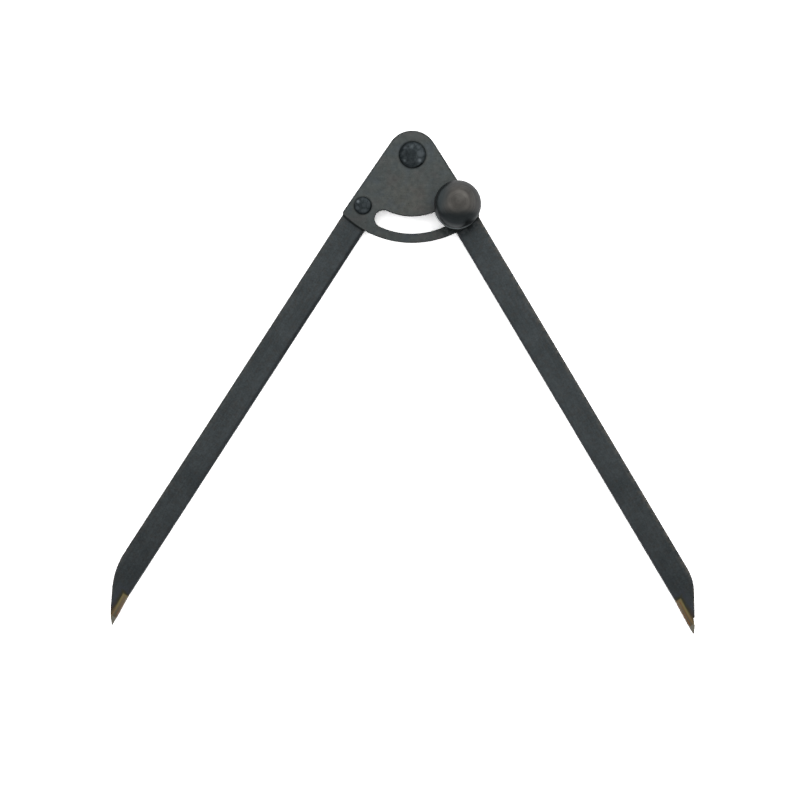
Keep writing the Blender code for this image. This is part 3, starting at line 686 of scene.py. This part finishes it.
plate_rivet = peened_rivet("plate_rivet", shank=0.005, flare=0.0074, crown=0.0016, shaded_side=320,
                           blows=PLATE_RIVET_BLOWS, painted_glints=PLATE_RIVET_PAINTED_GLINTS)
rivet_finish = peened_steel()
for piece, packed in ((pivot_rivet, "pivot_rivet"), (plate_rivet, "plate_rivet")):
    piece.data.materials.append(rivet_finish)
    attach(piece, "left_side")
    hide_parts(packed)


# The clamp stud.
# An M8 stud of bright drawn steel with a rolled thread from end to end. It is screwed into the right leg and
# runs in the plate's slot, and some of its thread shows when the knob is slackened.

THREAD_PITCH, THREAD_DEPTH = 0.00125, 0.00065
THREAD_FLAT = 1 / 12
THREAD_ROWS_PER_TURN = 14
STUD_COLUMNS = 56
STUD_CHAMFER = 0.0008
STUD_OILY, STUD_BRIGHT = "4d4b47", "7c7c79"
OIL_PATCHES_PER_MM = 0.8


def threaded_stud(packed):
    """A rod whose radius is cut by a helical groove.

    The groove's depth is a triangle wave of height over pitch minus the share of a turn, clipped so that its
    root and its crest each have a flat of two twelfths of the pitch. 45 degree chamfers take the ends.
    """
    low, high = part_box(packed)
    centre = box_middle(packed)
    full = (high[0] - low[0]) / 2
    count = int((high[2] - low[2]) / THREAD_PITCH * THREAD_ROWS_PER_TURN)
    height = np.linspace(high[2], low[2], count)[:, None]
    angle = np.linspace(0, 2 * np.pi, STUD_COLUMNS, endpoint=False)[None, :]
    phase = (height / THREAD_PITCH - angle / (2 * np.pi)) % 1
    flank = (0.5 - THREAD_FLAT - np.abs(phase - 0.5)) / (0.5 - 2 * THREAD_FLAT)
    radius = full - THREAD_DEPTH * np.clip(flank, 0, 1)
    radius = np.minimum(radius, full - STUD_CHAMFER + (high[2] - height))
    radius = np.minimum(radius, full - STUD_CHAMFER + (height - low[2]))
    across, along = centre[0] + radius * np.cos(angle), centre[1] + radius * np.sin(angle)
    return skin("clamp_stud_threaded", np.stack([across, along, height + 0 * angle], axis=-1))


def bright_drawn_steel():
    """Bright drawn steel with brownish patches of oil on it."""
    material, tree = new_material("oily_drawn_steel")
    place = node(tree, "TexCoord")
    millimetres = node(tree, "VectorMath", [place.outputs["Object"], (1000,) * 3], operation="MULTIPLY")
    oil = node(tree, "TexNoise", {"Vector": millimetres, "Scale": OIL_PATCHES_PER_MM, "Detail": 4.0})
    wiped = node(tree, "MapRange", [oil, 0.35, 0.65])
    shade = node(tree, "Mix", [wiped, linear(STUD_OILY), linear(STUD_BRIGHT)], data_type="RGBA")
    finish_metal(tree, shade, roughness=0.33, height=oil, strength=0.2)
    return material


stud = threaded_stud("clamp_stud")
stud.data.materials.append(bright_drawn_steel())
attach(stud, "right_side")
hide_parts("clamp_stud")


# The washer.
# A plain stamped steel washer: the punch has rounded its upper edges and left its lower ones nearly square.
# It lies loose on the stud, the knob has scuffed it in circles, and it is as grey as the rest of the tool.

WASHER_ROUND, WASHER_SQUARE = 0.0005, 0.0001
WASHER_WALL = 0.0078
WASHER_COLUMNS, ROUND_ROWS = 160, 7
WASHER_DARK, WASHER_LIGHT = "4e5354", "757b7d"
SCUFFS_PER_MM, WASHER_CLOUDS_PER_MM = 2.5, 0.3


def stamped_washer(packed):
    """A ring of one closed profile, turned: its upper corners are quarter circles, its lower ones square."""
    low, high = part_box(packed)
    outer = (high[0] - low[0]) / 2
    bore = outer - WASHER_WALL
    turn = np.linspace(0, np.pi / 2, ROUND_ROWS)
    round_top = high[2] - WASHER_ROUND
    radii = np.concatenate([outer - WASHER_ROUND + WASHER_ROUND * np.sin(turn),
                            [outer, outer - WASHER_SQUARE, bore + WASHER_SQUARE, bore],
                            bore + WASHER_ROUND - WASHER_ROUND * np.cos(turn)])
    heights = np.concatenate([round_top + WASHER_ROUND * np.cos(turn),
                              [low[2] + WASHER_SQUARE, low[2], low[2], low[2] + WASHER_SQUARE],
                              round_top + WASHER_ROUND * np.sin(turn)])
    return skin("clamp_washer_stamped", turned(radii, heights, WASHER_COLUMNS, box_middle(packed)),
                ring=True)


def stamped_steel(centre):
    """Stamped steel, clouded, and scuffed in rings drawn 0.4 mm apart."""
    material, tree = new_material("stamped_steel")
    place = node(tree, "TexCoord")
    away = node(tree, "VectorMath", [place.outputs["Object"], centre], operation="SUBTRACT")
    millimetres = node(tree, "VectorMath", [away, (1000, 1000, 0)], operation="MULTIPLY")
    reach = node(tree, "VectorMath", [millimetres], operation="LENGTH")
    rings = node(tree, "TexNoise", {"W": reach, "Scale": SCUFFS_PER_MM, "Detail": 3.0}, noise_dimensions="1D")
    cloud = node(tree, "TexNoise", {"Vector": millimetres, "Scale": WASHER_CLOUDS_PER_MM, "Detail": 4.0})
    mixed = node(tree, "Math", [rings, cloud], operation="ADD")
    share = node(tree, "MapRange", [mixed, 0.7, 1.3])
    shade = node(tree, "Mix", [share, linear(WASHER_DARK), linear(WASHER_LIGHT)], data_type="RGBA")
    finish_metal(tree, shade, roughness=0.36, height=rings, strength=0.2)
    return material


washer = stamped_washer("clamp_washer")
washer.data.materials.append(stamped_steel(box_middle("clamp_washer")))
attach(washer, "washer")
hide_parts("clamp_washer")


# The ball knob.
# It is turned from bar steel in one setting and left as it came off the lathe, so rings run round it from the
# top down, and a blind hole takes the stud. Hands keep its top bare and brownish, a painted highlight ring
# lies round its top, painted shade darkens its front and its side towards the plate, and a painted reflection
# lightens its widest part again.

KNOB_ROWS, KNOB_COLUMNS = 340, 240
POLE_ANGLE = 0.004
FEED_MARK, FEED_DEPTH = 0.0016, 0.000014
FEED_WAVES = ((0.5, 0.0031, 0), (0.4, 0.0013, 1))
KNOB_FLAT_RADIUS = 0.0075
KNOB_BORE_RADIUS, KNOB_BORE_DEPTH, KNOB_BORE_POINT = 0.00405, 0.01507, 0.00243
KNOB_BORE_CHAMFER, BORE_TIP_RADIUS = 0.0008, 0.0002
BARE_TOP, WORN_SIDE, PAINTED_FRONT_SHADE = "575552", "545556", "262b2d"
PAINTED_PLATEWARD_SHADE, PAINTED_RIM_REFLECTION = "3e4547", "6c7073"
WORN_MM = (6.0, 15.0)
CENTRE_MM, RING_MM, HIGHLIGHT_SWELL = 2.6, 7.1, 0.12
RINGS_PER_MM, RING_WOBBLE_MM, HAND_PATCHES_PER_MM = 0.7, 2.5, 0.25
FRONT_SHADE_SIDE, FRONT_SHADE_COVERS = (0.0, -1.0, 0), (0.18, 0.6)
PLATEWARD_SIDE, PLATEWARD_SHADE_COVERS, PLATEWARD_SHADE_THINS = (-0.98, 0.2, 0), (0.36, 0.72), (0.9, 1.0)
WIDEST_ANGLES = (1.08, 1.35)
RING_SHADES, PATCH_SHADES, KNOB_DULLNESS = (0.84, 1.15), (0.85, 1.15), (0.28, 0.38)
MOST_PLATEWARD_SHADE, MOST_FRONT_SHADE, FRONT_RIM_REFLECTION, SIDE_RIM_REFLECTION = 0.9, 0.92, 0.35, 0.8


def turned_knob(packed):
    """A ball whose radius dips in scallops, one for each turn of the tool along the arc from the top.

    The dip is the depth times the absolute sine of arc length over feed, made uneven by two slow waves.
    """
    low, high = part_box(packed)
    ball = (high[0] - low[0]) / 2
    middle = high[2] - ball
    last = math.pi - math.asin(KNOB_FLAT_RADIUS / ball)
    polar = np.linspace(POLE_ANGLE, last, KNOB_ROWS)
    arc = polar * ball
    uneven = 1 + sum(size * np.sin(arc / length + start) for size, length, start in FEED_WAVES)
    radius = ball - FEED_DEPTH * uneven * np.abs(np.sin(np.pi * arc / FEED_MARK))
    bore_top = low[2] + KNOB_BORE_DEPTH
    bore_radii = [KNOB_BORE_RADIUS + KNOB_BORE_CHAMFER, KNOB_BORE_RADIUS, KNOB_BORE_RADIUS, BORE_TIP_RADIUS]
    bore_heights = [low[2], low[2] + KNOB_BORE_CHAMFER, bore_top, bore_top + KNOB_BORE_POINT]
    radii = np.append(radius * np.sin(polar), bore_radii)
    heights = np.append(middle + radius * np.cos(polar), bore_heights)
    return skin("ball_knob_turned", turned(radii, heights, KNOB_COLUMNS, box_middle(packed)))


def turned_bar_steel(packed):
    """Turned steel: rings about the axis, brownish and bare on top, greyer down the sides, with painted shade
    in front and towards the plate.

    The angle from the top, in radians, is the arc cosine of the height of the unit vector from the ball's
    middle, and times the radius it is the way down. The painted shades lie where that vector points to the
    front and to the side towards the plate.
    """
    low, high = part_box(packed)
    ball_mm = (high[0] - low[0]) * 500
    across, along = box_middle(packed)[:2]
    material, tree = new_material("turned_bar_steel")
    place = node(tree, "TexCoord")
    away = node(tree, "VectorMath", [place.outputs["Object"], (across, along, high[2] - ball_mm / 1000)],
                operation="SUBTRACT")
    unit = node(tree, "VectorMath", [away], operation="NORMALIZE")
    height = node(tree, "SeparateXYZ", [unit])
    polar = node(tree, "Math", [height.outputs[2]], operation="ARCCOSINE")
    arc = node(tree, "Math", [polar, ball_mm], operation="MULTIPLY")
    share = node(tree, "MapRange", [arc, *WORN_MM])
    shade = node(tree, "Mix", [share, linear(BARE_TOP), linear(WORN_SIDE)], data_type="RGBA")

    # Tool rings, drawn 1.4 mm apart with finer ones between them, patches where hands rub, and one broad
    # swell that is a painted highlight ring: darker in the middle of the top, light round it and even again
    # further down
    millimetres = node(tree, "VectorMath", [away, (1000,) * 3], operation="MULTIPLY")
    cloud = node(tree, "TexNoise", {"Vector": millimetres, "Scale": HAND_PATCHES_PER_MM, "Detail": 4.0})
    wobble = node(tree, "Math", [cloud, RING_WOBBLE_MM, arc], operation="MULTIPLY_ADD")
    rings = node(tree, "TexNoise", {"W": wobble, "Scale": RINGS_PER_MM, "Detail": 3.0, "Roughness": 0.65},
                 noise_dimensions="1D")
    ringed = node(tree, "MapRange", [rings, 0.32, 0.68, *RING_SHADES])
    patchy = node(tree, "MapRange", [cloud, *NOISE_SPAN, *PATCH_SHADES])
    turns = node(tree, "MapRange", [arc, CENTRE_MM, RING_MM, -math.pi / 2, math.pi])
    highlight_wave = node(tree, "Math", [turns], operation="SINE")
    highlight_ring = node(tree, "Math", [highlight_wave, HIGHLIGHT_SWELL, 1.0], operation="MULTIPLY_ADD")
    for factor in (ringed, patchy, highlight_ring):
        shade = node(tree, "VectorMath", [shade, factor], operation="SCALE")

    # Painted shade on the side towards the plate, thinner at its middle
    plateward = node(tree, "VectorMath", [unit, PLATEWARD_SIDE], operation="DOT_PRODUCT")
    plateward_shade = node(tree, "MapRange", [plateward, *PLATEWARD_SHADE_COVERS, 0.0, MOST_PLATEWARD_SHADE])
    thinned = node(tree, "MapRange", [plateward, *PLATEWARD_SHADE_THINS, 1.0, 0.3])
    plateward_shade = node(tree, "Math", [plateward_shade, thinned], operation="MULTIPLY")
    shade = node(tree, "Mix", [plateward_shade, shade, linear(PAINTED_PLATEWARD_SHADE)], data_type="RGBA")

    # Painted shade on the front, a dark reflection painted into the colour, with an uneven border
    forward = node(tree, "VectorMath", [unit, FRONT_SHADE_SIDE], operation="DOT_PRODUCT")
    wander = node(tree, "MapRange", [cloud, *NOISE_SPAN, -0.07, 0.07])
    border = node(tree, "Math", [forward, wander], operation="ADD")
    painted_shade_patch = node(tree, "MapRange", [border, *FRONT_SHADE_COVERS, 0.0, MOST_FRONT_SHADE],
                  interpolation_type="SMOOTHSTEP")
    shade = node(tree, "Mix", [painted_shade_patch, shade, linear(PAINTED_FRONT_SHADE)], data_type="RGBA")

    # A painted reflection lightens the widest part of the front and of the shaded side again
    front_rim_lit = node(tree, "MapRange", [border, *FRONT_SHADE_COVERS, 0.0, FRONT_RIM_REFLECTION])
    side_rim_lit = node(tree, "MapRange", [plateward, *PLATEWARD_SHADE_COVERS, 0.0, SIDE_RIM_REFLECTION])
    wiped = node(tree, "Math", [front_rim_lit, side_rim_lit], operation="MAXIMUM")
    widest = node(tree, "MapRange", [polar, *WIDEST_ANGLES])
    wiped = node(tree, "Math", [wiped, widest], operation="MULTIPLY")
    shade = node(tree, "Mix", [wiped, shade, linear(PAINTED_RIM_REFLECTION)], data_type="RGBA")

    dullness = node(tree, "MapRange", [rings, *NOISE_SPAN, *KNOB_DULLNESS])
    finish_metal(tree, shade, roughness=dullness, height=rings, strength=0.25, edge_tint=0.7)
    return material


knob = turned_knob("ball_knob")
knob.data.materials.append(turned_bar_steel("ball_knob"))
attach(knob, "knob")
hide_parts("ball_knob")
